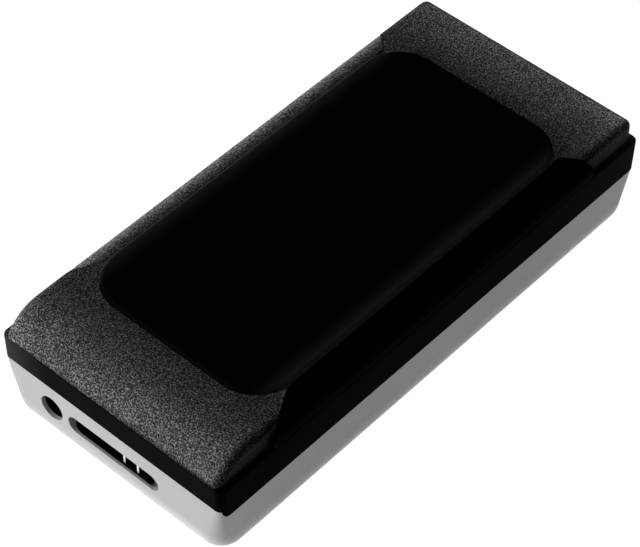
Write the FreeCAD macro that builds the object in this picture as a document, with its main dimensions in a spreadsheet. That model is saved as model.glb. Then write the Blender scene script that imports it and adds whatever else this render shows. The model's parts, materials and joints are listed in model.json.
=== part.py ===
"""Pocket external solid state drive: a drafted tray, a black frame, a grained cap and a grip pad
around a bridge board that carries a flash module, a data port and a power jack.

Frame: millimetres, +Z up, +Y towards the back, origin at the middle of the underside.
"""
import FreeCAD, Part
import Sketcher
import math
import os

SIZES = {
    # Outer body
    "body_length": 73.0,
    "body_width": 34.0,
    "draft_angle": 1.0,
    "corner_round": 0.95,
    "foot_corner_round": 3.5,
    # Lower tray
    "tray_front_height": 9.55,
    "tray_side_height": 8.3,
    "tray_bottom_round": 3.2,
    "tray_wall": 1.3,
    "tray_floor": 1.4,
    "rim_end_inset": 1.1,
    "rim_step_setback": 0.4,
    # Frame between tray and cap
    "ledge_height": 13.1,
    "ledge_round": 0.25,
    "deck_thickness": 1.5,
    "lip_depth": 1.2,
    "lip_thickness": 0.8,
    "lip_end_inset": 5.0,
    "rail_setback": 0.05,
    "rail_round": 2.3,
    # Grained cap
    "side_ledge": 0.7,
    "front_ledge": 0.1,
    "cap_height": 3.05,
    "cap_shell": 1.4,
    "cap_front_round": 5.7,
    "cap_edge_round": 0.8,
    "notch_front_inset": 14.3,
    "notch_front_flare": 6.2,
    "notch_back_inset": 11.6,
    "notch_back_flare": 2.8,
    "stake_diameter": 2.0,
    "stake_side_inset": 5.2,
    "stake_end_inset": 20.0,
    "stake_relief": 0.3,
    # Grip pad
    "pad_end_margin": 9.4,
    "pad_side_margin": 3.2,
    "pad_overlap": 0.2,
    "pad_thickness": 0.6,
    "pad_corner_round": 5.5,
    "pad_edge_round": 0.5,
    # Openings in the front wall
    "port_jack_gap": 0.65,
    "port_end_gap": 0.6,
    "port_edge_gap": 0.05,
    "jack_from_wall": 5.97,
    "jack_bore": 3.4,
    # Bridge board
    "board_thickness": 1.0,
    "board_lift": 2.3,
    "board_gap": 0.3,
    "board_corner_round": 1.0,
    # Screws and the posts that take them
    "post_from_side": 4.5,
    "post_from_jack": 1.1,
    "post_from_back": 3.6,
    "post_diameter": 3.6,
    "boss_diameter": 4.6,
    "screw_diameter": 1.7,
    "screw_head_diameter": 3.0,
    "screw_head_height": 1.0,
    "screw_recess_depth": 1.5,
    "screw_end_gap": 0.5,
    "fit_clearance": 0.1,
    # Data port
    "shell_width": 12.9,
    "shell_height": 2.4,
    "shell_depth": 6.2,
    "shell_wall": 0.25,
    "shell_setback": 0.3,
    "tongue_thickness": 0.7,
    "tongue_setback": 0.9,
    "tongue_back_depth": 2.0,
    "key_leg": 0.3,
    "key_span": 2.4,
    "key_offset": 2.45,
    "key_height": 1.8,
    "key_depth": 2.2,
    "contact_width": 0.28,
    "contact_pitch": 0.65,
    "contact_thickness": 0.12,
    # Power jack
    "jack_width": 5.2,
    "jack_depth": 9.0,
    "jack_height": 5.4,
    "jack_bore_depth": 7.4,
    "jack_nose_diameter": 4.2,
    "jack_nose_setback": 0.65,
    "jack_pin_diameter": 1.3,
    "jack_pin_setback": 1.6,
    "jack_flange": 0.55,
    "jack_flange_thickness": 0.8,
    "jack_spring_width": 1.2,
    "jack_spring_thickness": 0.3,
    # Flash module and what cools it
    "module_width": 22.0,
    "module_thickness": 0.8,
    "module_end_gap": 0.6,
    "module_key_radius": 1.75,
    "socket_gap": 1.1,
    "socket_depth": 7.0,
    "socket_insertion": 2.5,
    "socket_cover": 0.9,
    "standoff_diameter": 4.4,
    "module_screw_diameter": 2.0,
    "module_screw_head": 4.2,
    "module_screw_head_height": 0.8,
    "flash_width": 14.0,
    "flash_height": 1.1,
    "chip_gap": 1.5,
    "controller_size": 9.0,
    "cache_width": 7.0,
    "module_chip_height": 0.9,
    "thermal_pad_thickness": 1.2,
    "thermal_pad_width": 16.0,
    "spreader_thickness": 1.5,
    "spreader_width": 21.0,
    # Small parts on the bridge board
    "bridge_size": 7.0,
    "bridge_height": 0.9,
    "bridge_gap": 2.2,
    "crystal_gap": 0.3,
    "crystal_width": 2.5,
    "crystal_length": 3.2,
    "crystal_height": 0.8,
    "inductor_size": 4.0,
    "inductor_height": 1.8,
    "capacitor_width": 0.9,
    "capacitor_length": 1.6,
    "capacitor_height": 0.8,
    "capacitor_pitch": 1.9,
    "inductor_gap": 0.5,
}

doc = FreeCAD.newDocument("external_solid_state_drive")
sheet = doc.addObject("Spreadsheet::Sheet", "Sizes")
for row, (alias, value) in enumerate(SIZES.items(), start=1):
    sheet.set(f"A{row}", alias)
    sheet.set(f"B{row}", str(value))
    sheet.setAlias(f"B{row}", alias)
doc.recompute()


def size(name):
    """Expression that reads one cell of the sheet."""
    return f"Sizes.{name}"


def number(expression):
    """Present value of an expression, for starting positions and edge picking."""
    return float(sheet.evalExpression(expression))


# Places that several pieces share, as expressions of the sheet
HALF_LENGTH = "Sizes.body_length / 2"
HALF_WIDTH = "Sizes.body_width / 2"
DRAFT = "tan(Sizes.draft_angle * 1 deg)"
FOOT_INSET = f"Sizes.ledge_height * {DRAFT}"
CAVITY_X = f"({HALF_WIDTH} - {FOOT_INSET} - Sizes.tray_wall)"
CAVITY_Y = f"({HALF_LENGTH} - {FOOT_INSET} - Sizes.tray_wall)"
FRAME_X = f"({CAVITY_X} - Sizes.fit_clearance - Sizes.lip_thickness)"
RIM_X = f"({HALF_WIDTH} - Sizes.rim_end_inset)"
RIM_STEP = "(Sizes.tray_front_height - Sizes.tray_side_height)"
STEP_Y = f"(-{HALF_LENGTH} + Sizes.rim_step_setback + {RIM_STEP})"
DECK_BOTTOM = "(Sizes.ledge_height - Sizes.deck_thickness)"
CAP_TOP = "(Sizes.ledge_height + Sizes.cap_height)"
CAP_CURVE = "sqrt(2 * Sizes.cap_front_round * Sizes.cap_height - Sizes.cap_height * Sizes.cap_height)"
PAD_X = f"({HALF_WIDTH} - Sizes.pad_side_margin)"
PAD_Y = f"({HALF_LENGTH} - Sizes.pad_end_margin)"
NOTCH_X = f"({PAD_X} - Sizes.pad_overlap)"
BOARD_BOTTOM = "(Sizes.tray_floor + Sizes.board_lift)"
BOARD_TOP = f"({BOARD_BOTTOM} + Sizes.board_thickness)"
PORT_Z = f"({BOARD_TOP} + Sizes.shell_height / 2)"
FRONT_FACE = f"(-{HALF_LENGTH} + (Sizes.ledge_height - {PORT_Z}) * {DRAFT})"
SHELL_FRONT = f"({FRONT_FACE} + Sizes.shell_setback)"
SHELL_BACK = f"({SHELL_FRONT} + Sizes.shell_depth)"
SHELL_TOP_INSIDE = f"({BOARD_TOP} + Sizes.shell_height - Sizes.shell_wall)"
JACK_FRONT = f"(-{CAVITY_Y} + Sizes.fit_clearance)"
JACK_BACK = f"({JACK_FRONT} + Sizes.jack_depth)"
NOSE_FRONT = f"({FRONT_FACE} + Sizes.jack_nose_setback)"
NOSE_LENGTH = f"({JACK_FRONT} - {NOSE_FRONT})"
JACK_X = f"(Sizes.jack_from_wall - {CAVITY_X})"
PORT_X = f"({JACK_X} + Sizes.jack_width / 2 + Sizes.port_jack_gap + Sizes.shell_width / 2)"
POST_X = f"({CAVITY_X} - Sizes.post_from_side)"
POST_FRONT = f"({JACK_BACK} + Sizes.post_from_jack + Sizes.post_diameter / 2)"
POST_BACK = f"({CAVITY_Y} - Sizes.post_from_back)"
BRIDGE_Y = f"({SHELL_BACK} + Sizes.bridge_gap + Sizes.bridge_size / 2)"
SPREADER_BOTTOM = f"({DECK_BOTTOM} - Sizes.spreader_thickness)"
FLASH_TOP = f"({SPREADER_BOTTOM} - Sizes.thermal_pad_thickness)"
MODULE_TOP = f"({FLASH_TOP} - Sizes.flash_height)"
MODULE_BOTTOM = f"({MODULE_TOP} - Sizes.module_thickness)"
SOCKET_FRONT = f"({BRIDGE_Y} + Sizes.bridge_size / 2 + Sizes.socket_gap)"
SOCKET_BACK = f"({SOCKET_FRONT} + Sizes.socket_depth)"
MODULE_FRONT = f"({SOCKET_BACK} - Sizes.socket_insertion)"
MODULE_BACK = f"({POST_BACK} - Sizes.post_diameter / 2 - Sizes.module_end_gap)"
CHIP_RUN = f"({MODULE_BACK} - Sizes.module_screw_head / 2 - {SOCKET_BACK})"
FLASH_LENGTH = f"(({CHIP_RUN} - Sizes.controller_size - 4 * Sizes.chip_gap) / 2)"
SCREW_SEAT = "Sizes.screw_recess_depth"
SCREW_PLACES = [
    (f"-{POST_X}", POST_FRONT),
    (POST_X, POST_FRONT),
    (f"-{POST_X}", POST_BACK),
    (POST_X, POST_BACK),
]
STAKE_PLACES = [
    (f"{sx} * ({NOTCH_X} - Sizes.stake_side_inset)",
     f"{sy} * ({HALF_LENGTH} - Sizes.stake_end_inset)")
    for sx in (-1, 1) for sy in (-1, 1)
]

nodes = {}


def keep(name, feature):
    """Registers the finished object of one sub-part under its node name."""
    feature.Label = name
    nodes[name] = feature


# Sketch and feature helpers
def new_body(name):
    return doc.addObject("PartDesign::Body", name)


def new_sketch(body, name, role="XY_Plane", offset="0"):
    """Empty sketch on one of the body's own origin planes, moved along that plane's normal."""
    plane = next(item for item in body.Origin.OriginFeatures if item.Role == role)
    sketch = body.newObject("Sketcher::SketchObject", f"{body.Name}_{name}")
    sketch.AttachmentSupport = [(plane, "")]
    sketch.MapMode = "FlatFace"
    sketch.setExpression("AttachmentOffset.Base.z", offset)
    return sketch


def fix_point(sketch, geometry, position, x, y):
    """Ties one point of the sketch to expressions for its two coordinates."""
    for kind, expression in (("DistanceX", x), ("DistanceY", y)):
        constraint = Sketcher.Constraint(kind, -1, 1, geometry, position, number(expression))
        index = sketch.addConstraint(constraint)
        sketch.setExpression(f"Constraints[{index}]", expression)


def add_polygon(sketch, corners):
    """Closed outline through corners given as pairs of expressions."""
    points = [FreeCAD.Vector(number(x), number(y), 0) for x, y in corners]
    first = sketch.GeometryCount
    count = len(points)
    for i in range(count):
        sketch.addGeometry(Part.LineSegment(points[i], points[(i + 1) % count]), False)
    for i in range(count):
        sketch.addConstraint(Sketcher.Constraint("Coincident", first + i, 2, first + (i + 1) % count, 1))
    for i, (x, y) in enumerate(corners):
        fix_point(sketch, first + i, 1, x, y)


def add_rectangle(sketch, left, right, low, high):
    add_polygon(sketch, [(left, low), (right, low), (right, high), (left, high)])


def add_circle(sketch, x, y, diameter):
    centre = FreeCAD.Vector(number(x), number(y), 0)
    radius = f"({diameter}) / 2"
    index = sketch.addGeometry(Part.Circle(centre, FreeCAD.Vector(0, 0, 1), number(radius)), False)
    fix_point(sketch, index, 3, x, y)
    constraint = sketch.addConstraint(Sketcher.Constraint("Radius", index, number(radius)))
    sketch.setExpression(f"Constraints[{constraint}]", radius)


def add_stadium(sketch, x, y, width, height):
    """Slot outline with half-round ends, centred on x, y."""
    radius = f"({height}) / 2"
    reach = f"(({width}) - ({height})) / 2"
    left, right = number(f"({x}) - {reach}"), number(f"({x}) + {reach}")
    middle, bow = number(y), number(radius)
    up = FreeCAD.Vector(0, 0, 1)
    top, bottom = middle + bow, middle - bow
    first = sketch.GeometryCount
    upper_left, upper_right = FreeCAD.Vector(left, top, 0), FreeCAD.Vector(right, top, 0)
    lower_left, lower_right = FreeCAD.Vector(left, bottom, 0), FreeCAD.Vector(right, bottom, 0)
    sketch.addGeometry(Part.LineSegment(upper_left, upper_right), False)
    right_circle = Part.Circle(FreeCAD.Vector(right, middle, 0), up, bow)
    sketch.addGeometry(Part.ArcOfCircle(right_circle, -math.pi / 2, math.pi / 2), False)
    sketch.addGeometry(Part.LineSegment(lower_right, lower_left), False)
    left_circle = Part.Circle(FreeCAD.Vector(left, middle, 0), up, bow)
    sketch.addGeometry(Part.ArcOfCircle(left_circle, math.pi / 2, 3 * math.pi / 2), False)
    for line, line_end, arc, arc_end in ((0, 2, 1, 2), (2, 1, 1, 1), (2, 2, 3, 2), (0, 1, 3, 1)):
        sketch.addConstraint(Sketcher.Constraint("Tangent", first + line, line_end, first + arc, arc_end))
    fix_point(sketch, first + 1, 3, f"({x}) + {reach}", y)
    index = sketch.addConstraint(Sketcher.Constraint("DistanceX", -1, 1, first + 3, 3, left))
    sketch.setExpression(f"Constraints[{index}]", f"({x}) - {reach}")
    sketch.addConstraint(Sketcher.Constraint("Horizontal", first))
    sketch.addConstraint(Sketcher.Constraint("Equal", first + 1, first + 3))
    index = sketch.addConstraint(Sketcher.Constraint("Radius", first + 1, bow))
    sketch.setExpression(f"Constraints[{index}]", radius)


def add_step_outline(sketch):
    """What the tray's raised front rim takes from the frame at a corner, seen from the side."""
    low = f"Sizes.tray_side_height - {RIM_STEP}"
    ahead = "-Sizes.body_length"
    corners = [
        (f"{STEP_Y} - {RIM_STEP}", size("tray_front_height")), (ahead, size("tray_front_height")),
        (ahead, low), (STEP_Y, low), (STEP_Y, size("tray_side_height"))]
    points = [FreeCAD.Vector(number(x), number(z), 0) for x, z in corners]
    for start, stop in zip(points, points[1:]):
        sketch.addGeometry(Part.LineSegment(start, stop), False)
    circle = Part.Circle(
        FreeCAD.Vector(number(STEP_Y), number(size("tray_front_height")), 0),
        FreeCAD.Vector(0, 0, 1), number(RIM_STEP))
    sketch.addGeometry(Part.ArcOfCircle(circle, math.pi, 3 * math.pi / 2), False)
    for i in range(3):
        sketch.addConstraint(Sketcher.Constraint("Coincident", i, 2, i + 1, 1))
    sketch.addConstraint(Sketcher.Constraint("Coincident", 3, 2, 4, 2))
    sketch.addConstraint(Sketcher.Constraint("Coincident", 4, 1, 0, 1))
    for i, (x, z) in enumerate(corners[:4]):
        fix_point(sketch, i, 1, x, z)
    fix_point(sketch, 3, 2, *corners[4])
    index = sketch.addConstraint(Sketcher.Constraint("Radius", 4, number(RIM_STEP)))
    sketch.setExpression(f"Constraints[{index}]", RIM_STEP)


def finish_feature(body, feature):
    body.Tip = feature
    doc.recompute()
    if feature.Shape.isNull() or not feature.Shape.isValid():
        raise RuntimeError(f"{feature.Name} does not build")
    return feature


def pad(body, sketch, length, taper=None, down=False):
    """Extrusion along the sketch normal, or against it when down is set."""
    feature = body.newObject("PartDesign::Pad", f"{sketch.Name}_pad")
    feature.Profile = sketch
    feature.setExpression("Length", length)
    if taper:
        feature.setExpression("TaperAngle", taper)
    feature.Reversed = down
    return finish_feature(body, feature)


def pocket(body, sketch, length, along_normal=False):
    """Cut against the sketch normal, or along it; the volume must fall."""
    before = body.Shape.Volume
    feature = body.newObject("PartDesign::Pocket", f"{sketch.Name}_pocket")
    feature.Profile = sketch
    feature.setExpression("Length", length)
    feature.Reversed = along_normal
    finish_feature(body, feature)
    if not feature.Shape.Volume < before - 1e-6:
        raise RuntimeError(f"{feature.Name} cuts nothing")
    return feature


def round_edges(body, base, name, radius, wanted):
    """Fillet on the edges of base whose bounding box passes the test."""
    names = [f"Edge{i}" for i, edge in enumerate(base.Shape.Edges, start=1) if wanted(edge.BoundBox)]
    if not names:
        raise RuntimeError(f"{body.Name} {name} finds no edge")
    feature = body.newObject("PartDesign::Fillet", f"{body.Name}_{name}")
    feature.Base = (base, names)
    feature.setExpression("Radius", radius)
    return finish_feature(body, feature)


def near(value, target):
    return abs(value - target) < 1e-3


def upright(box):
    return box.ZLength > 10 * max(box.XLength, box.YLength)


def block(name, x, y, bottom, width, length, height):
    """Box centred on x, y and standing on bottom, with every size an expression."""
    box = doc.addObject("Part::Box", name)
    box.setExpression("Length", width)
    box.setExpression("Width", length)
    box.setExpression("Height", height)
    box.setExpression("Placement.Base.x", f"({x}) - ({width}) / 2")
    box.setExpression("Placement.Base.y", f"({y}) - ({length}) / 2")
    box.setExpression("Placement.Base.z", bottom)
    return box


def rod(name, x, y, bottom, diameter, height):
    """Upright cylinder on x, y, standing on bottom."""
    cylinder = doc.addObject("Part::Cylinder", name)
    cylinder.setExpression("Radius", f"({diameter}) / 2")
    cylinder.setExpression("Height", height)
    cylinder.setExpression("Placement.Base.x", x)
    cylinder.setExpression("Placement.Base.y", y)
    cylinder.setExpression("Placement.Base.z", bottom)
    return cylinder


def fuse(name, base, tool):
    joined = doc.addObject("Part::Fuse", name)
    joined.Base = base
    joined.Tool = tool
    return joined


def cut(name, base, tool):
    remaining = doc.addObject("Part::Cut", name)
    remaining.Base = base
    remaining.Tool = tool
    return remaining


def group(name, members):
    compound = doc.addObject("Part::Compound", name)
    compound.Links = members
    return compound


# Drafted block of the tray: corners that are tight at the rim and widen downwards to meet the lower edges
def make_tray_block():
    body = new_body("tray_block")
    foot = new_sketch(body, "foot")
    foot_x = f"({HALF_WIDTH} - {FOOT_INSET})"
    foot_y = f"({HALF_LENGTH} - {FOOT_INSET})"
    add_rectangle(foot, f"-{foot_x}", foot_x, f"-{foot_y}", foot_y)
    block_pad = pad(body, foot, size("tray_front_height"), size("draft_angle"))
    rim_radius = number(size("corner_round"))
    foot_radius = number(size("foot_corner_round"))
    lower_radius = number(size("tray_bottom_round"))
    edges = []
    for i, edge in enumerate(block_pad.Shape.Edges, start=1):
        if near(edge.BoundBox.ZMax, 0):
            edges.append((i, lower_radius, lower_radius))
        elif upright(edge.BoundBox) and edge.Vertexes[0].Z < edge.Vertexes[-1].Z:
            edges.append((i, foot_radius, rim_radius))
        elif upright(edge.BoundBox):
            edges.append((i, rim_radius, foot_radius))
    rounded = doc.addObject("Part::Fillet", "tray_rounded")
    rounded.Base = body
    rounded.Edges = edges
    doc.recompute()
    return rounded


# Lower tray: hollow block with a raised front rim, screw bosses and the two openings
def make_lower_tray():
    rounded = make_tray_block()
    body = new_body("lower_tray")
    body.BaseFeature = rounded
    doc.recompute()
    cavity = new_sketch(body, "cavity", offset=size("tray_front_height"))
    add_rectangle(cavity, f"-{CAVITY_X}", CAVITY_X, f"-{CAVITY_Y}", CAVITY_Y)
    pocket(body, cavity, "Sizes.tray_front_height - Sizes.tray_floor")
    rim = new_sketch(body, "rim", offset=size("tray_front_height"))
    far_x, far_y = size("body_width"), size("body_length")
    add_polygon(rim, [
        (f"-{far_x}", STEP_Y), (f"-{RIM_X}", STEP_Y), (f"-{RIM_X}", f"-{CAVITY_Y}"),
        (RIM_X, f"-{CAVITY_Y}"), (RIM_X, STEP_Y), (far_x, STEP_Y), (far_x, far_y), (f"-{far_x}", far_y)])
    pocket(body, rim, RIM_STEP)
    for name, place, outwards in (("right_step", RIM_X, True), ("left_step", f"-{RIM_X}", False)):
        step = new_sketch(body, name, "YZ_Plane", place)
        add_circle(step, STEP_Y, size("tray_front_height"), f"2 * {RIM_STEP}")
        pocket(body, step, size("rim_end_inset"), along_normal=outwards)
    bosses = new_sketch(body, "bosses", offset="Sizes.tray_floor / 2")
    for x, y in SCREW_PLACES:
        add_circle(bosses, x, y, size("boss_diameter"))
    pad(body, bosses, f"{BOARD_BOTTOM} - Sizes.tray_floor / 2")
    holes = new_sketch(body, "screw_holes")
    for x, y in SCREW_PLACES:
        add_circle(holes, x, y, "Sizes.screw_diameter + 2 * Sizes.fit_clearance")
    pocket(body, holes, BOARD_BOTTOM, along_normal=True)
    recesses = new_sketch(body, "screw_recesses")
    for x, y in SCREW_PLACES:
        add_circle(recesses, x, y, "Sizes.screw_head_diameter + 2 * Sizes.fit_clearance")
    pocket(body, recesses, SCREW_SEAT, along_normal=True)
    openings = new_sketch(body, "openings", "XZ_Plane", HALF_LENGTH)
    add_stadium(
        openings, PORT_X, PORT_Z, "Sizes.shell_width + 2 * Sizes.port_end_gap",
        "Sizes.shell_height + 2 * Sizes.port_edge_gap")
    add_circle(openings, JACK_X, PORT_Z, size("jack_bore"))
    pocket(body, openings, f"{FOOT_INSET} + Sizes.tray_wall + Sizes.fit_clearance")
    nose_seat = new_sketch(body, "nose_seat", "XZ_Plane", f"Sizes.fit_clearance - {NOSE_FRONT}")
    add_circle(nose_seat, JACK_X, PORT_Z, "Sizes.jack_nose_diameter + 2 * Sizes.fit_clearance")
    pocket(body, nose_seat, f"{NOSE_LENGTH} + Sizes.fit_clearance")
    keep("lower_tray", body)


# Black frame: drafted band with a deck, side rails that fill the cap's notches, posts and lips
def make_mid_frame():
    body = new_body("mid_frame")
    rise = "(Sizes.ledge_height - Sizes.tray_side_height)"
    base_x = f"({HALF_WIDTH} - {rise} * {DRAFT})"
    base_y = f"({HALF_LENGTH} - {rise} * {DRAFT})"
    band = new_sketch(body, "band", offset=size("tray_side_height"))
    add_rectangle(band, f"-{base_x}", base_x, f"-{base_y}", base_y)
    ring = pad(body, band, rise, size("draft_angle"))
    ring = round_edges(body, ring, "corner_round", size("corner_round"), upright)
    top_z = number(size("ledge_height"))
    round_edges(body, ring, "ledge_round", size("ledge_round"), lambda box: near(box.ZMin, top_z))
    seat = new_sketch(body, "rim_seat", offset=size("tray_side_height"))
    add_rectangle(seat, f"-{RIM_X}", RIM_X, f"-{size('body_length')}", f"-{CAVITY_Y}")
    pocket(body, seat, RIM_STEP, along_normal=True)
    for name, place, outwards in (("right_step", RIM_X, True), ("left_step", f"-{RIM_X}", False)):
        step = new_sketch(body, name, "YZ_Plane", place)
        add_step_outline(step)
        pocket(body, step, size("rim_end_inset"), along_normal=outwards)
    cavity = new_sketch(body, "cavity", offset=size("tray_side_height"))
    add_rectangle(cavity, f"-{FRAME_X}", FRAME_X, f"-{CAVITY_Y}", CAVITY_Y)
    pocket(body, cavity, f"{DECK_BOTTOM} - Sizes.tray_side_height", along_normal=True)
    lips = new_sketch(body, "lips", offset="Sizes.tray_side_height + Sizes.lip_depth")
    lip_y = f"({CAVITY_Y} - Sizes.lip_end_inset)"
    for side in ("-1", "1"):
        inner, outer = f"{side} * {FRAME_X}", f"{side} * ({FRAME_X} + Sizes.lip_thickness)"
        add_rectangle(lips, inner, outer, f"-{lip_y}", lip_y)
    pad(body, lips, "2 * Sizes.lip_depth", down=True)
    posts = new_sketch(body, "posts", offset=BOARD_TOP)
    for x, y in SCREW_PLACES:
        add_circle(posts, x, y, size("post_diameter"))
    pad(body, posts, f"{DECK_BOTTOM} + Sizes.deck_thickness / 2 - {BOARD_TOP}")
    threads = new_sketch(body, "screw_holes", offset=BOARD_TOP)
    for x, y in SCREW_PLACES:
        add_circle(threads, x, y, "Sizes.screw_diameter + Sizes.fit_clearance / 2")
    pocket(body, threads, f"{DECK_BOTTOM} - {BOARD_TOP}", along_normal=True)
    rails = new_sketch(body, "rails", offset="Sizes.ledge_height - Sizes.deck_thickness / 2")
    for side in ("-1", "1"):
        add_polygon(rails, notch_outline(side, "Sizes.rail_setback", size("fit_clearance")))
    rail = pad(body, rails, "Sizes.deck_thickness / 2 + Sizes.cap_height")
    rail_top = number(CAP_TOP)
    rail_x = number(f"{HALF_WIDTH} - Sizes.rail_setback")
    round_edges(
        body, rail, "rail_round", size("rail_round"),
        lambda box: near(box.ZMin, rail_top) and near(abs(box.Center.x), rail_x))
    stakes = new_sketch(body, "stake_holes", offset=size("ledge_height"))
    for x, y in STAKE_PLACES:
        add_circle(stakes, x, y, "Sizes.stake_diameter + 2 * Sizes.fit_clearance")
    pocket(body, stakes, size("deck_thickness"))
    keep("mid_frame", body)


def notch_outline(side, setback, clearance):
    """Plan of one side notch, four corners from the pad out to the side; ends splay outwards.

    setback draws the outer edge in from the side of the body, clearance shrinks the outline.
    """
    inner = f"({NOTCH_X} + {clearance})"
    outer = f"({HALF_WIDTH} - {setback})"
    front = f"({HALF_LENGTH} - Sizes.notch_front_inset)"
    back = f"({HALF_LENGTH} - Sizes.notch_back_inset)"

    def end(x, start, flare):
        return f"({start} + {flare} * ({x} - {NOTCH_X}) / ({HALF_WIDTH} - {NOTCH_X}) - {clearance})"

    corners = []
    for x, sign, start, flare in (
            (inner, "-1", front, size("notch_front_flare")),
            (outer, "-1", front, size("notch_front_flare")),
            (outer, "1", back, size("notch_back_flare")),
            (inner, "1", back, size("notch_back_flare"))):
        corners.append((f"{side} * {x}", f"{sign} * {end(x, start, flare)}"))
    return corners


def add_cap_profile(sketch, front, back):
    """Side view of the cap: flat underside and top, joined in front by one arc that ends at the top."""
    radius = size("cap_front_round")
    corners = [
        (front, size("ledge_height")), (back, size("ledge_height")), (back, CAP_TOP),
        (f"{front} + {CAP_CURVE}", CAP_TOP)]
    points = [FreeCAD.Vector(number(y), number(z), 0) for y, z in corners]
    for start, stop in zip(points, points[1:]):
        sketch.addGeometry(Part.LineSegment(start, stop), False)
    bow = number(radius)
    centre = points[3] - FreeCAD.Vector(0, bow, 0)
    circle = Part.Circle(centre, FreeCAD.Vector(0, 0, 1), bow)
    foot_angle = math.atan2(points[0].y - centre.y, points[0].x - centre.x)
    sketch.addGeometry(Part.ArcOfCircle(circle, math.pi / 2, foot_angle), False)
    for i in range(2):
        sketch.addConstraint(Sketcher.Constraint("Coincident", i, 2, i + 1, 1))
    sketch.addConstraint(Sketcher.Constraint("Coincident", 2, 2, 3, 1))
    sketch.addConstraint(Sketcher.Constraint("Coincident", 3, 2, 0, 1))
    for i, (y, z) in enumerate(corners[:3]):
        fix_point(sketch, i, 1, y, z)
    fix_point(sketch, 2, 2, *corners[3])
    index = sketch.addConstraint(Sketcher.Constraint("Radius", 3, bow))
    sketch.setExpression(f"Constraints[{index}]", radius)


# Grained cap: hollow cover that curves down to the front, with side notches and stakes into the deck
def make_grained_cap():
    body = new_body("grained_cap")
    cap_x = f"({HALF_WIDTH} - Sizes.side_ledge)"
    cap_front = f"-({HALF_LENGTH} - Sizes.front_ledge)"
    cap_back = f"({HALF_LENGTH} - Sizes.side_ledge)"
    profile = new_sketch(body, "profile", "YZ_Plane", f"-{cap_x}")
    add_cap_profile(profile, cap_front, cap_back)
    cover = pad(body, profile, f"2 * {cap_x}")
    cover = round_edges(
        body, cover, "back_corner_round", size("corner_round"),
        lambda box: upright(box) and box.Center.y > 0)
    ledge_z = number(size("ledge_height"))
    round_edges(
        body, cover, "edge_round", size("cap_edge_round"),
        lambda box: not upright(box) and box.ZMax > ledge_z + 1e-3 and (
            box.YLength > 1e-3 or box.Center.y > 0))
    notches = new_sketch(body, "notches", offset=CAP_TOP)
    for side in ("-1", "1"):
        add_polygon(notches, notch_outline(side, "0", "0"))
    pocket(body, notches, size("cap_height"))
    hollow = new_sketch(body, "hollow", offset=size("ledge_height"))
    hollow_x = f"({NOTCH_X} - Sizes.cap_shell)"
    hollow_front = f"{cap_front} + {CAP_CURVE}"
    add_rectangle(hollow, f"-{hollow_x}", hollow_x, hollow_front, f"{cap_back} - Sizes.cap_shell")
    pocket(body, hollow, "Sizes.cap_height - Sizes.cap_shell", along_normal=True)
    stakes = new_sketch(body, "stakes", offset=f"{DECK_BOTTOM} + Sizes.stake_relief")
    for x, y in STAKE_PLACES:
        add_circle(stakes, x, y, size("stake_diameter"))
    pad(body, stakes, f"{CAP_TOP} - Sizes.cap_shell / 2 - {DECK_BOTTOM} - Sizes.stake_relief")
    keep("grained_cap", body)


# Grip pad: rubber sheet with large corners and a soft edge, stuck to the flat of the cap
def make_grip_pad():
    body = new_body("grip_pad")
    outline = new_sketch(body, "outline", offset=CAP_TOP)
    add_rectangle(outline, f"-{PAD_X}", PAD_X, f"-{PAD_Y}", PAD_Y)
    sheet_pad = pad(body, outline, size("pad_thickness"))
    sheet_pad = round_edges(
        body, sheet_pad, "corner_round", size("pad_corner_round"),
        lambda box: near(box.XLength + box.YLength, 0))
    top_z = number(f"{CAP_TOP} + Sizes.pad_thickness")
    round_edges(body, sheet_pad, "edge_round", size("pad_edge_round"), lambda box: near(box.ZMin, top_z))
    keep("grip_pad", body)


# Bridge board with screw holes and a cut-out for the sunk power jack
def make_main_board():
    body = new_body("main_board")
    outline = new_sketch(body, "outline", offset=BOARD_BOTTOM)
    edge_x, edge_y = f"({CAVITY_X} - Sizes.board_gap)", f"({CAVITY_Y} - Sizes.board_gap)"
    half_jack = "(Sizes.jack_width / 2 + Sizes.fit_clearance)"
    jack_end = f"({JACK_BACK} + Sizes.fit_clearance)"
    jack_left, jack_right = f"({JACK_X} - {half_jack})", f"({JACK_X} + {half_jack})"
    add_polygon(outline, [
        (f"-{edge_x}", f"-{edge_y}"), (jack_left, f"-{edge_y}"), (jack_left, jack_end),
        (jack_right, jack_end), (jack_right, f"-{edge_y}"), (edge_x, f"-{edge_y}"),
        (edge_x, edge_y), (f"-{edge_x}", edge_y)])
    plate = pad(body, outline, size("board_thickness"))
    back_y = number(edge_y)
    round_edges(
        body, plate, "corner_round", size("board_corner_round"),
        lambda box: near(box.XLength + box.YLength, 0) and near(box.Center.y, back_y))
    holes = new_sketch(body, "screw_holes", offset=BOARD_BOTTOM)
    for x, y in SCREW_PLACES:
        add_circle(holes, x, y, "Sizes.screw_diameter + 2 * Sizes.fit_clearance")
    pocket(body, holes, size("board_thickness"), along_normal=True)
    keep("main_board", body)


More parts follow.
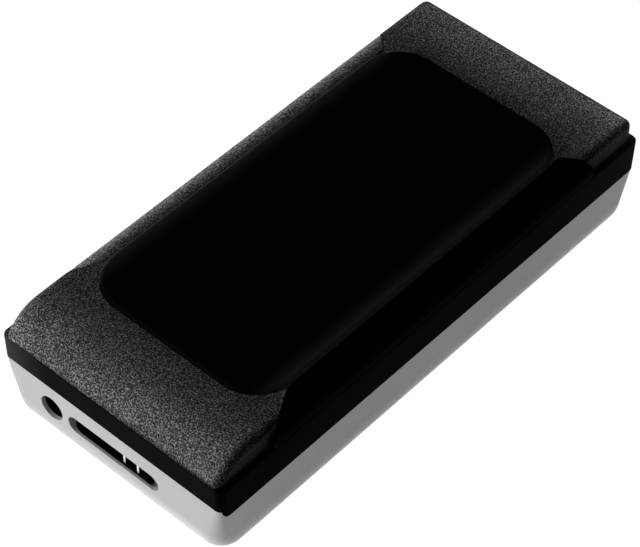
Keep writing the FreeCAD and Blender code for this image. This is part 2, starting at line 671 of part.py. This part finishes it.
# Data port: folded metal shell, insulator with two tongues, contacts and the divider between them
def make_port():
    shell = new_body("port_shell")
    section = new_sketch(shell, "section", "XZ_Plane", f"-{SHELL_FRONT}")
    left = f"({PORT_X} - Sizes.shell_width / 2)"
    right = f"({PORT_X} + Sizes.shell_width / 2)"
    inside_width = "(Sizes.shell_width - 2 * Sizes.shell_wall)"
    inside_height = "(Sizes.shell_height - 2 * Sizes.shell_wall)"
    add_stadium(section, PORT_X, PORT_Z, size("shell_width"), size("shell_height"))
    add_stadium(section, PORT_X, PORT_Z, inside_width, inside_height)
    pad(shell, section, size("shell_depth"), down=True)
    keep("port_shell", shell)

    key_left = f"({PORT_X} + Sizes.key_offset - Sizes.key_span / 2)"
    key_right = f"({PORT_X} + Sizes.key_offset + Sizes.key_span / 2)"
    tongue_bottom = f"({PORT_Z} - Sizes.tongue_thickness)"
    tongue_front = f"({SHELL_FRONT} + Sizes.tongue_setback)"
    insulator = new_body("port_insulator")
    block_sketch = new_sketch(insulator, "block", "XZ_Plane", f"-{SHELL_BACK}")
    slack = "(Sizes.shell_wall + Sizes.fit_clearance)"
    add_stadium(block_sketch, PORT_X, PORT_Z, inside_width, inside_height)
    pad(insulator, block_sketch, size("tongue_back_depth"))
    for name, start, stop in (
            ("wide_tongue", f"{left} + 2 * {slack}", f"{key_left} - {slack}"),
            ("narrow_tongue", f"{key_right} + {slack}", f"{right} - 2 * {slack}")):
        tongue = new_sketch(insulator, name, "XZ_Plane", f"-{SHELL_BACK} + Sizes.tongue_back_depth / 2")
        add_rectangle(tongue, start, stop, tongue_bottom, PORT_Z)
        pad(insulator, tongue, f"{SHELL_BACK} - Sizes.tongue_back_depth / 2 - {tongue_front}")
    keep("port_insulator", insulator)

    contacts = []
    contact_length = f"({SHELL_BACK} - Sizes.tongue_back_depth - {tongue_front} - Sizes.contact_pitch)"
    contact_y = f"({SHELL_BACK} - Sizes.tongue_back_depth - {contact_length} / 2)"
    wide_middle = f"(({left} + {key_left}) / 2)"
    narrow_middle = f"(({key_right} + {right}) / 2)"
    for middle, count in ((wide_middle, 6), (narrow_middle, 2)):
        for i in range(count):
            place = f"{middle} + ({i} - {count - 1} / 2) * Sizes.contact_pitch"
            contacts.append(block(
                "contact", place, contact_y, PORT_Z,
                size("contact_width"), contact_length, size("contact_thickness")))
    keep("port_contacts", group("port_contacts", contacts))

    key = new_body("port_key")
    fold = new_sketch(key, "fold", "XZ_Plane", f"-{SHELL_FRONT} - Sizes.fit_clearance")
    top = SHELL_TOP_INSIDE
    web = f"({top} - Sizes.key_leg)"
    foot = f"({top} - Sizes.key_height)"
    add_polygon(fold, [
        (key_left, foot), (f"{key_left} + Sizes.key_leg", foot), (f"{key_left} + Sizes.key_leg", web),
        (f"{key_right} - Sizes.key_leg", web), (f"{key_right} - Sizes.key_leg", foot), (key_right, foot),
        (key_right, top), (key_left, top)])
    pad(key, fold, size("key_depth"), down=True)
    keep("port_key", key)


# Power jack: sunk housing with flanges on the board, centre pin and side spring
def make_power_jack():
    housing = new_body("jack_housing")
    half = "Sizes.jack_width / 2"
    bottom = f"({PORT_Z} - Sizes.jack_height / 2)"
    face = new_sketch(housing, "face", "XZ_Plane", f"-{JACK_FRONT}")
    flange_low, flange_high = BOARD_TOP, f"{BOARD_TOP} + Sizes.jack_flange_thickness"
    left, right = f"{JACK_X} - {half}", f"{JACK_X} + {half}"
    far_left, far_right = f"{left} - Sizes.jack_flange", f"{right} + Sizes.jack_flange"
    top = f"({PORT_Z} + Sizes.jack_height / 2)"
    add_polygon(face, [
        (left, bottom), (right, bottom), (right, flange_low), (far_right, flange_low),
        (far_right, flange_high), (right, flange_high), (right, top), (left, top),
        (left, flange_high), (far_left, flange_high), (far_left, flange_low), (left, flange_low)])
    pad(housing, face, size("jack_depth"), down=True)
    nose = new_sketch(housing, "nose", "XZ_Plane", f"-{JACK_FRONT}")
    add_circle(nose, JACK_X, PORT_Z, size("jack_nose_diameter"))
    pad(housing, nose, NOSE_LENGTH)
    bore = new_sketch(housing, "bore", "XZ_Plane", f"-{NOSE_FRONT}")
    add_circle(bore, JACK_X, PORT_Z, size("jack_bore"))
    pocket(housing, bore, f"{NOSE_LENGTH} + Sizes.jack_bore_depth")
    groove = new_sketch(housing, "spring_groove", "XZ_Plane", f"-{JACK_FRONT}")
    bore_top = f"({PORT_Z} + Sizes.jack_bore / 2)"
    half_spring = "(Sizes.jack_spring_width / 2)"
    add_rectangle(
        groove, f"{JACK_X} - {half_spring} - Sizes.fit_clearance",
        f"{JACK_X} + {half_spring} + Sizes.fit_clearance",
        PORT_Z, f"{bore_top} + Sizes.jack_spring_thickness")
    pocket(housing, groove, size("jack_bore_depth"))
    keep("jack_housing", housing)

    pin = new_body("jack_pin")
    bore_end = f"({JACK_FRONT} + Sizes.jack_bore_depth)"
    pin_end = new_sketch(pin, "pin", "XZ_Plane", f"-{bore_end}")
    add_circle(pin_end, JACK_X, PORT_Z, size("jack_pin_diameter"))
    stem = pad(pin, pin_end, "Sizes.jack_bore_depth - Sizes.jack_pin_setback")
    tip_y = number(f"{JACK_FRONT} + Sizes.jack_pin_setback")
    stem_edges = enumerate(stem.Shape.Edges, start=1)
    tip = [f"Edge{i}" for i, edge in stem_edges if near(edge.BoundBox.YMax, tip_y)]
    bevel = pin.newObject("PartDesign::Chamfer", "jack_pin_tip")
    bevel.Base = (stem, tip)
    bevel.setExpression("Size", "Sizes.jack_pin_diameter / 4")
    finish_feature(pin, bevel)
    keep("jack_pin", pin)

    length = "(Sizes.jack_bore_depth - Sizes.jack_pin_setback)"
    spring = block(
        "jack_spring", JACK_X, f"{bore_end} - {length} / 2", bore_top,
        size("jack_spring_width"), length, size("jack_spring_thickness"))
    keep("jack_spring", spring)


# Flash module: keyed board, socket, standoff, screw and packages
def make_flash_module():
    board = new_body("module_board")
    outline = new_sketch(board, "outline", offset=MODULE_BOTTOM)
    half = "Sizes.module_width / 2"
    add_rectangle(outline, f"-{half}", half, MODULE_FRONT, MODULE_BACK)
    pad(board, outline, size("module_thickness"))
    notch = new_sketch(board, "screw_notch", offset=MODULE_BOTTOM)
    add_circle(notch, "Sizes.fit_clearance / 100", MODULE_BACK, "2 * Sizes.module_key_radius")
    pocket(board, notch, size("module_thickness"), along_normal=True)
    keep("module_board", board)

    socket = new_body("module_socket")
    base = new_sketch(socket, "base", offset=BOARD_TOP)
    reach = "(Sizes.module_width / 2 + Sizes.socket_cover)"
    add_rectangle(base, f"-{reach}", reach, SOCKET_FRONT, SOCKET_BACK)
    pad(socket, base, f"{MODULE_TOP} + Sizes.socket_cover - {BOARD_TOP}")
    mouth = new_sketch(socket, "mouth", "XZ_Plane", f"-{SOCKET_BACK}")
    gap = size("fit_clearance")
    add_rectangle(
        mouth, f"-({half} + {gap})", f"{half} + {gap}", f"{MODULE_BOTTOM} - {gap}", f"{MODULE_TOP} + {gap}")
    pocket(socket, mouth, f"Sizes.socket_insertion + {gap}", along_normal=True)
    keep("module_socket", socket)

    lift = f"({MODULE_BOTTOM} - {BOARD_TOP})"
    hole_depth = f"({lift} * 0.9)"
    post = rod("standoff_post", "0", MODULE_BACK, BOARD_TOP, size("standoff_diameter"), lift)
    bore = rod(
        "standoff_bore", "0", MODULE_BACK, f"{MODULE_BOTTOM} - {hole_depth}",
        "Sizes.module_screw_diameter + Sizes.fit_clearance / 2", hole_depth)
    keep("module_standoff", cut("module_standoff", post, bore))
    shank_length = f"({lift} * 0.8 + Sizes.module_thickness)"
    shank = rod(
        "module_screw_shank", "0", MODULE_BACK, f"{MODULE_TOP} - {shank_length}",
        size("module_screw_diameter"), shank_length)
    head = rod(
        "module_screw_head", "0", MODULE_BACK, MODULE_TOP,
        size("module_screw_head"), size("module_screw_head_height"))
    keep("module_screw", fuse("module_screw", head, shank))

    chip_y = f"({SOCKET_BACK} + Sizes.chip_gap + Sizes.controller_size / 2)"
    quarter = "Sizes.module_width / 4"
    keep("module_controller", block(
        "module_controller", f"-{quarter}", chip_y, MODULE_TOP,
        size("controller_size"), size("controller_size"), size("module_chip_height")))
    keep("cache_chip", block(
        "cache_chip", quarter, chip_y, MODULE_TOP,
        size("cache_width"), size("controller_size"), size("module_chip_height")))
    flash = []
    flash_start = f"({SOCKET_BACK} + 2 * Sizes.chip_gap + Sizes.controller_size)"
    for i in range(2):
        y = f"{flash_start} + {FLASH_LENGTH} / 2 + {i} * ({FLASH_LENGTH} + Sizes.chip_gap)"
        flash.append(block(
            "flash_chip", "0", y, MODULE_TOP, size("flash_width"), FLASH_LENGTH, size("flash_height")))
    keep("flash_chips", group("flash_chips", flash))
    pad_length = f"(2 * {FLASH_LENGTH} + Sizes.chip_gap)"
    keep("thermal_pad", block(
        "thermal_pad", "0", f"{flash_start} + {pad_length} / 2", FLASH_TOP,
        size("thermal_pad_width"), pad_length, size("thermal_pad_thickness")))
    spreader_length = f"({CHIP_RUN} - 2 * Sizes.chip_gap)"
    keep("heat_spreader", block(
        "heat_spreader", "0", f"{SOCKET_BACK} + Sizes.chip_gap + {spreader_length} / 2", SPREADER_BOTTOM,
        size("spreader_width"), spreader_length, size("spreader_thickness")))


# Small parts of the bridge board
def make_board_parts():
    keep("bridge_chip", block(
        "bridge_chip", PORT_X, BRIDGE_Y, BOARD_TOP,
        size("bridge_size"), size("bridge_size"), size("bridge_height")))
    beside = f"({PORT_X} - Sizes.bridge_size / 2 - Sizes.crystal_width)"
    crystal_y = f"({JACK_BACK} + Sizes.crystal_gap + Sizes.crystal_length / 2)"
    keep("clock_crystal", block(
        "clock_crystal", beside, crystal_y, BOARD_TOP,
        size("crystal_width"), size("crystal_length"), size("crystal_height")))
    coil_y = f"({SHELL_BACK} + Sizes.inductor_gap + Sizes.inductor_size / 2)"
    keep("power_inductor", block(
        "power_inductor", POST_X, coil_y, BOARD_TOP,
        size("inductor_size"), size("inductor_size"), size("inductor_height")))
    caps = []
    row_y = f"{SOCKET_BACK} + 2 * Sizes.capacitor_length"
    for i in range(6):
        caps.append(block(
            "capacitor", f"({i} - 2.5) * Sizes.capacitor_pitch", row_y, BOARD_TOP,
            size("capacitor_width"), size("capacitor_length"), size("capacitor_height")))
    keep("capacitors", group("capacitors", caps))


# Four case screws: head in the tray's recess, shank through the board into the frame's posts
def make_case_screws():
    screws = []
    top = f"({DECK_BOTTOM} - Sizes.screw_end_gap)"
    for x, y in SCREW_PLACES:
        shank = rod("case_screw_shank", x, y, SCREW_SEAT, size("screw_diameter"), f"{top} - {SCREW_SEAT}")
        head = rod(
            "case_screw_head", x, y, f"{SCREW_SEAT} - Sizes.screw_head_height",
            size("screw_head_diameter"), size("screw_head_height"))
        screws.append(fuse("case_screw", head, shank))
    keep("case_screws", group("case_screws", screws))


make_lower_tray()
make_mid_frame()
make_grained_cap()
make_grip_pad()
make_main_board()
make_port()
make_power_jack()
make_flash_module()
make_board_parts()
make_case_screws()
doc.recompute()

# Nothing is written unless every object built and every sub-part is a valid solid
for item in doc.Objects:
    if "Invalid" in item.State or "Error" in item.State:
        raise RuntimeError(f"{item.Name} failed: {item.State}")
for node, feature in nodes.items():
    shape = feature.Shape
    if shape.isNull() or not shape.isValid() or not shape.Solids:
        raise RuntimeError(f"{node} is not a valid solid")

os.makedirs("parts", exist_ok=True)
for node, feature in nodes.items():
    feature.Shape.exportStep(f"parts/{node}.step")
    print(node, len(feature.Shape.Solids), round(feature.Shape.Volume, 2))
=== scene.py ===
import json

import bpy
from mathutils import Matrix, Vector

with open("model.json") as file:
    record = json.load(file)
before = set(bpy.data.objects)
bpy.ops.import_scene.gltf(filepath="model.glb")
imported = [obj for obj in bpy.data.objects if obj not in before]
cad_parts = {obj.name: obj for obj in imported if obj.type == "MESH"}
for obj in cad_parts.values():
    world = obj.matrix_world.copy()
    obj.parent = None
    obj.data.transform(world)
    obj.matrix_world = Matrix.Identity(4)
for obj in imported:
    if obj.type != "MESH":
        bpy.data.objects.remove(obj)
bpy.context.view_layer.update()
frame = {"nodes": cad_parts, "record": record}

MM = 0.001

# Where painted light and shade change on the drive, in millimetres: across is x, along is y, up is z
TRAY_EDGE_HEIGHT = (0.0, 5.0)
TRAY_EDGE_ACROSS = (-14.0, 12.0)
SHOULDER_HEIGHT = (13.4, 14.4)
LEFT_SHOULDER_ACROSS = (-13.6, -16.4)
BAND_FLANK_ACROSS = (15.6, 16.5)
CAP_RIM_HEIGHT = (13.1, 13.6)
CAP_RIM_ACROSS = (-16.0, 8.0)
CAP_FLANK_ACROSS = (15.0, 16.0)
CAP_NOSE_ALONG = (-28.0, -36.0)
CAP_TAIL_ALONG = (26.0, 36.0)
PAD_EDGE_ACROSS = (11.0, 13.8)

# Corners painted lighter at the front left and the back right, by x times y in square millimetres
BAND_CORNER = (300.0, 620.0)
CAP_CORNER = (420.0, 580.0)

# Range that most of a noise texture keeps to
NOISE = (0.3, 0.7)

# Stage
FLOOR_SIZE = 6.0
FLOOR_DROP = 0.00002
FLOOR_GLOW = 0.9
FILL_LIGHT = 0.16


# Node helpers
def new_material(name):
    material = bpy.data.materials.new(name)
    material.use_nodes = True
    tree = material.node_tree
    tree.nodes.clear()
    output = tree.nodes.new("ShaderNodeOutputMaterial")
    shader = tree.nodes.new("ShaderNodeBsdfPrincipled")
    tree.links.new(shader.outputs["BSDF"], output.inputs["Surface"])
    return material, tree, shader


def coordinates(tree, stretch=(1, 1, 1)):
    """Position on the object in millimetres, stretched for grain that runs one way."""
    place = tree.nodes.new("ShaderNodeTexCoord")
    mapping = tree.nodes.new("ShaderNodeMapping")
    mapping.inputs["Scale"].default_value = [s / MM for s in stretch]
    tree.links.new(place.outputs["Object"], mapping.inputs["Vector"])
    return mapping.outputs["Vector"]


def noise(tree, vector, scale, detail=2.0, roughness=0.5):
    node = tree.nodes.new("ShaderNodeTexNoise")
    node.inputs["Scale"].default_value = scale
    node.inputs["Detail"].default_value = detail
    node.inputs["Roughness"].default_value = roughness
    tree.links.new(vector, node.inputs["Vector"])
    return node.outputs["Fac"]


def ramp(tree, value, stops):
    """Colour ramp; each stop is a position and a grey level or a colour."""
    node = tree.nodes.new("ShaderNodeValToRGB")
    elements = node.color_ramp.elements
    while len(elements) < len(stops):
        elements.new(0.5)
    for element, (position, colour) in zip(elements, stops):
        if isinstance(colour, (int, float)):
            colour = (colour, colour, colour)
        element.position = position
        element.color = (*colour, 1)
    tree.links.new(value, node.inputs["Fac"])
    return node.outputs["Color"]


def along(tree, vector, axis):
    """One coordinate of a place on the object, in millimetres."""
    node = tree.nodes.new("ShaderNodeSeparateXYZ")
    tree.links.new(vector, node.inputs[0])
    return node.outputs[axis]


def reckon(tree, operation, first, second=0.0):
    """A sum on one or two values, each a socket or a number."""
    node = tree.nodes.new("ShaderNodeMath")
    node.operation = operation
    for socket, value in zip(node.inputs, (first, second)):
        if isinstance(value, bpy.types.NodeSocket):
            tree.links.new(value, socket)
        else:
            socket.default_value = value
    return node.outputs[0]


def span(tree, value, reach, start, end):
    """Value carried from one range to another, held at the ends."""
    node = tree.nodes.new("ShaderNodeMapRange")
    numbers = {"From Min": reach[0], "From Max": reach[1], "To Min": start, "To Max": end}
    for name, number in numbers.items():
        node.inputs[name].default_value = number
    tree.links.new(value, node.inputs["Value"])
    return node.outputs["Result"]


def blend(tree, factor, first, second, mode="MIX"):
    """Mix of two colours, each a socket, a grey level or a colour."""
    node = tree.nodes.new("ShaderNodeMix")
    node.data_type = "RGBA"
    node.blend_type = mode
    if isinstance(factor, bpy.types.NodeSocket):
        tree.links.new(factor, node.inputs[0])
    else:
        node.inputs[0].default_value = factor
    for socket, value in ((node.inputs[6], first), (node.inputs[7], second)):
        if isinstance(value, bpy.types.NodeSocket):
            tree.links.new(value, socket)
        else:
            socket.default_value = (value, value, value, 1)
    return node.outputs[2]


def bump(tree, shader, height, strength, depth):
    """Surface relief, its depth in millimetres."""
    node = tree.nodes.new("ShaderNodeBump")
    node.inputs["Strength"].default_value = strength
    node.inputs["Distance"].default_value = depth * MM
    tree.links.new(height, node.inputs["Height"])
    tree.links.new(node.outputs["Normal"], shader.inputs["Normal"])


def finish(tree, shader, colour, gloss, rough, specular):
    """Colour, roughness that follows the tooth, and one level of gloss."""
    tree.links.new(colour, shader.inputs["Base Color"])
    tree.links.new(span(tree, gloss, NOISE, *rough), shader.inputs["Roughness"])
    shader.inputs["Specular IOR Level"].default_value = specular


# Materials
def smooth_plastic(name, dark, light, rough, specular, grain=1.6, depth=0.012):
    """Moulded plastic: slow cloudy tone, fine tooth in gloss and surface."""
    material, tree, shader = new_material(name)
    place = coordinates(tree)
    cloud = noise(tree, place, 0.12, 3)
    fine = noise(tree, place, grain, 4, 0.6)
    tone = ramp(tree, blend(tree, 0.35, cloud, fine), [(0.3, dark), (0.7, light)])
    finish(tree, shader, tone, fine, (rough - 0.06, rough + 0.06), specular)
    bump(tree, shader, fine, 0.35, depth)
    return material


def tray_plastic(name):
    """Light grey moulding: cloudy tone, fine tooth, and a painted reflection of the white floor: the lower
    edge is painted paler, more so to the right.
    """
    material, tree, shader = new_material(name)
    place = coordinates(tree)
    cloud = noise(tree, place, 0.12, 3)
    fine = noise(tree, place, 1.6, 4, 0.6)
    greys = [(0.3, (0.575, 0.575, 0.58)), (0.7, (0.645, 0.645, 0.65))]
    tone = ramp(tree, blend(tree, 0.35, cloud, fine), greys)
    # Painted reflection: the lower edge is painted paler, as the white floor would show in it, more so
    # towards the right
    low = span(tree, along(tree, place, "Z"), TRAY_EDGE_HEIGHT, 0.0, 1.0)
    painted_light = ramp(tree, low, [(0.04, 0.0), (0.14, 1.0), (0.5, 1.0), (0.82, 0.0)])
    side = span(tree, along(tree, place, "X"), TRAY_EDGE_ACROSS, 0.3, 1.0)
    tone = blend(tree, reckon(tree, "MULTIPLY", painted_light, side), tone, 0.93)
    finish(tree, shader, tone, fine, (0.3, 0.42), 0.45)
    bump(tree, shader, fine, 0.35, 0.012)
    return material


def satin_frame(name):
    """Smooth black moulding with painted light and shade; the left shoulder beside the pad is painted pale
    as a fine tooth with pale tips, where light from the left would fall.
    """
    material, tree, shader = new_material(name)
    place = coordinates(tree)
    across = along(tree, place, "X")
    cloud = noise(tree, place, 0.12, 3)
    fine = noise(tree, place, 5.0, 2, 0.6)
    band = ramp(tree, blend(tree, 0.35, cloud, fine), [(0.3, 0.005), (0.7, 0.009)])
    # Painted highlight: the band is painted paler towards the front left and back right corners
    corner = reckon(tree, "MULTIPLY", across, along(tree, place, "Y"))
    corner = reckon(tree, "POWER", span(tree, corner, BAND_CORNER, 0.0, 1.0), 2.0)
    band = blend(tree, corner, band, 0.07)
    # Painted shade: the band is painted near black towards the right flank
    band = blend(tree, span(tree, across, BAND_FLANK_ACROSS, 0.0, 0.75), band, 0.0005)
    # Painted shade: the shoulder above the band is painted darker than the band
    shoulder = span(tree, along(tree, place, "Z"), SHOULDER_HEIGHT, 0.0, 1.0)
    deep = blend(tree, shoulder, band, 0.001)
    # Painted light: the left shoulder is painted pale, with pale tips on the fine tooth, where the low
    # lamp from the left would fall
    left = span(tree, across, LEFT_SHOULDER_ACROSS, 0.0, 1.0)
    tooth = ramp(tree, fine, [(0.33, 0.03), (0.5, 0.19), (0.66, 0.66)])
    tone = blend(tree, reckon(tree, "MULTIPLY", shoulder, left), deep, tooth)
    finish(tree, shader, tone, fine, (0.32, 0.44), 0.001)
    bump(tree, shader, fine, 0.4, 0.05)
    return material


def grained_plastic(name):
    """Spark-eroded grain: close packed pale tips over dark hollows, about a quarter millimetre apart."""
    material, tree, shader = new_material(name)
    place = coordinates(tree)
    across = along(tree, place, "X")
    length = along(tree, place, "Y")
    tips = noise(tree, place, 5.4, 1.5, 0.55)
    fleck = noise(tree, place, 11.0, 2, 0.6)
    patch = noise(tree, place, 0.28, 2)
    mixed = blend(tree, 0.3, tips, fleck)
    tone = ramp(tree, mixed, [(0.33, 0.003), (0.5, 0.045), (0.66, 0.3)])
    tone = blend(tree, 1.0, tone, ramp(tree, patch, [(0.3, 0.78), (0.7, 1.0)]), "MULTIPLY")
    # Painted highlight: the tips are painted paler at the nose, the tail and the corners, where the low
    # lamps fall
    front = span(tree, length, CAP_NOSE_ALONG, 0.0, 1.2)
    back = reckon(tree, "POWER", span(tree, length, CAP_TAIL_ALONG, 0.0, 1.55), 2.0)
    corner = span(tree, reckon(tree, "MULTIPLY", across, length), CAP_CORNER, 0.0, 1.0)
    painted_light = reckon(tree, "ADD", reckon(tree, "ADD", front, back), 0.8)
    painted_light = reckon(tree, "ADD", painted_light, corner)
    # Painted shade: the right flank and the lower rim towards it are painted dark
    flank = span(tree, across, CAP_FLANK_ACROSS, 1.0, 0.18)
    low = span(tree, along(tree, place, "Z"), CAP_RIM_HEIGHT, 0.85, 0.0)
    shaded = reckon(tree, "MULTIPLY", low, span(tree, across, CAP_RIM_ACROSS, 0.0, 1.0))
    rim = reckon(tree, "SUBTRACT", 1.0, shaded)
    level = reckon(tree, "MULTIPLY", reckon(tree, "MULTIPLY", painted_light, flank), rim)
    lift = tree.nodes.new("ShaderNodeVectorMath")
    lift.operation = "SCALE"
    tree.links.new(tone, lift.inputs[0])
    tree.links.new(level, lift.inputs["Scale"])
    finish(tree, shader, lift.outputs[0], fleck, (0.5, 0.7), 0.03)
    bump(tree, shader, mixed, 0.6, 0.07)
    return material


def rubber(name, dark, light):
    """Deep black rubber with a fine tooth, and a painted highlight along its two long edges, which are
    painted a little paler.
    """
    material, tree, shader = new_material(name)
    place = coordinates(tree)
    tooth = noise(tree, place, 4.2, 3, 0.6)
    cloud = noise(tree, place, 0.1, 2)
    deep = ramp(tree, blend(tree, 0.5, tooth, cloud), [(0.32, dark), (0.68, light)])
    # Painted highlight: the pad is painted paler towards both long edges
    out = reckon(tree, "ABSOLUTE", along(tree, place, "X"))
    painted_light = reckon(tree, "POWER", span(tree, out, PAD_EDGE_ACROSS, 0.0, 0.85), 2.0)
    finish(tree, shader, blend(tree, painted_light, deep, 0.04), tooth, (0.42, 0.58), 0.008)
    bump(tree, shader, tooth, 0.25, 0.03)
    return material


def metal(name, dark, light, rough, stretch=(1, 1, 1)):
    """Plated or rolled metal with fine lines along one direction and small tone changes."""
    material, tree, shader = new_material(name)
    lines = noise(tree, coordinates(tree, stretch), 3.0, 4, 0.6)
    cloud = noise(tree, coordinates(tree), 0.4, 2)
    tone = ramp(tree, blend(tree, 0.5, lines, cloud), [(0.3, dark), (0.7, light)])
    tree.links.new(tone, shader.inputs["Base Color"])
    tree.links.new(span(tree, lines, NOISE, rough - 0.06, rough + 0.08), shader.inputs["Roughness"])
    shader.inputs["Metallic"].default_value = 1.0
    bump(tree, shader, lines, 0.2, 0.01)
    return material


def solder_mask(name):
    """Green board: faint glass weave under the lacquer and darker runs where copper lies."""
    material, tree, shader = new_material(name)
    place = coordinates(tree)
    weave = tree.nodes.new("ShaderNodeTexChecker")
    weave.inputs["Scale"].default_value = 2.4
    weave.inputs["Color1"].default_value = (0.018, 0.085, 0.038, 1)
    weave.inputs["Color2"].default_value = (0.022, 0.1, 0.045, 1)
    tree.links.new(place, weave.inputs["Vector"])
    copper = ramp(tree, noise(tree, place, 0.7, 1), [(0.48, 1.0), (0.52, 0.72)])
    tone = blend(tree, 1.0, weave.outputs["Color"], copper, "MULTIPLY")
    tree.links.new(tone, shader.inputs["Base Color"])
    shader.inputs["Roughness"].default_value = 0.35
    shader.inputs["Coat Weight"].default_value = 0.4
    bump(tree, shader, noise(tree, place, 2.2, 2), 0.2, 0.02)
    return material


GILT = ((0.62, 0.44, 0.16), (0.8, 0.62, 0.28))
GAP_FILLER = ((0.24, 0.35, 0.43), (0.33, 0.45, 0.53))
CERAMIC = ((0.36, 0.25, 0.16), (0.47, 0.34, 0.23))
looks = {
    "tray_plastic": tray_plastic("tray_plastic"),
    "frame_plastic": satin_frame("frame_plastic"),
    "cap_plastic": grained_plastic("cap_plastic"),
    "pad_rubber": rubber("pad_rubber", 0.0006, 0.002),
    "circuit_board": solder_mask("circuit_board"),
    "port_metal": metal("port_metal", 0.012, 0.03, 0.4, (1, 0.1, 1)),
    "bright_metal": metal("bright_metal", 0.55, 0.72, 0.24, (1, 0.15, 1)),
    "contact_metal": metal("contact_metal", *GILT, 0.28, (1, 0.1, 1)),
    "black_plastic": smooth_plastic("black_plastic", 0.003, 0.008, 0.5, 0.03),
    "chip_resin": smooth_plastic("chip_resin", 0.02, 0.04, 0.6, 0.25, 2.6, 0.03),
    "thermal_rubber": smooth_plastic("thermal_rubber", *GAP_FILLER, 0.7, 0.2),
    "spreader_metal": metal("spreader_metal", 0.6, 0.76, 0.38, (1, 0.05, 1)),
    "capacitor_body": smooth_plastic("capacitor_body", *CERAMIC, 0.45, 0.4),
}
for subpart in frame["record"]["subparts"]:
    mesh = frame["nodes"][subpart["node"]].data
    mesh.materials.clear()
    mesh.materials.append(looks[subpart["material_slot"]])


# Floor: pale and plain, white to the camera and in reflections, and it keeps the soft shadow
def floor_paper(name):
    material = bpy.data.materials.new(name)
    material.use_nodes = True
    tree = material.node_tree
    tree.nodes.clear()
    output = tree.nodes.new("ShaderNodeOutputMaterial")
    diffuse = tree.nodes.new("ShaderNodeBsdfDiffuse")
    tone = ramp(tree, noise(tree, coordinates(tree), 0.02, 2), [(0.3, 0.8), (0.7, 0.82)])
    tree.links.new(tone, diffuse.inputs["Color"])
    glow = tree.nodes.new("ShaderNodeEmission")
    path = tree.nodes.new("ShaderNodeLightPath").outputs
    seen = reckon(tree, "MAXIMUM", path["Is Camera Ray"], path["Is Glossy Ray"])
    seen = reckon(tree, "MAXIMUM", seen, path["Is Transmission Ray"])
    tree.links.new(reckon(tree, "MULTIPLY", seen, FLOOR_GLOW), glow.inputs["Strength"])
    both = tree.nodes.new("ShaderNodeAddShader")
    tree.links.new(diffuse.outputs[0], both.inputs[0])
    tree.links.new(glow.outputs[0], both.inputs[1])
    tree.links.new(both.outputs[0], output.inputs["Surface"])
    return material


bpy.ops.mesh.primitive_plane_add(size=FLOOR_SIZE, location=(0, 0, -FLOOR_DROP))
floor = bpy.context.object
floor.name = "floor"
floor.data.materials.append(floor_paper("floor_paper"))


# Light: a large soft key from the front left, a low soft lamp from the left, a little fill from everywhere
def soft_light(name, location, target, size, power):
    data = bpy.data.lights.new(name, "AREA")
    data.shape = "DISK"
    data.size = size
    data.energy = power
    lamp = bpy.data.objects.new(name, data)
    lamp.location = location
    lamp.rotation_euler = (Vector(target) - Vector(location)).to_track_quat("-Z", "Y").to_euler()
    bpy.context.scene.collection.objects.link(lamp)


soft_light("key", (-0.36, -0.64, 0.18), (0, -0.01, 0.01), 0.3, 3.3)
soft_light("side", (-0.5, 0.1, 0.06), (0, 0, 0.01), 0.2, 1.2)
world = bpy.data.worlds.new("studio")
world.use_nodes = True
background = world.node_tree.nodes["Background"]
background.inputs["Color"].default_value = (1, 1, 1, 1)
background.inputs["Strength"].default_value = FILL_LIGHT
bpy.context.scene.world = world

# Camera: the photograph's viewpoint
camera_data = bpy.data.cameras.new("camera")
camera_data.sensor_fit = "HORIZONTAL"
camera_data.sensor_width = 36.0
camera_data.lens = 148.196
camera_data.clip_start = 0.01
camera_data.clip_end = 10.0
camera = bpy.data.objects.new("camera", camera_data)
right = Vector((0.742546595, 0.669739216, 0.008598653))
down = Vector((0.500178933, -0.545923777, -0.672151966))
forward = Vector((-0.445472322, 0.503405018, -0.740363288))
axes = Matrix((right, -down, -forward)).transposed().to_4x4()
camera.matrix_world = Matrix.Translation((0.137534, -0.157269, 0.236040)) @ axes
bpy.context.scene.collection.objects.link(camera)
bpy.context.scene.camera = camera
bpy.context.scene.view_settings.view_transform = "Standard"
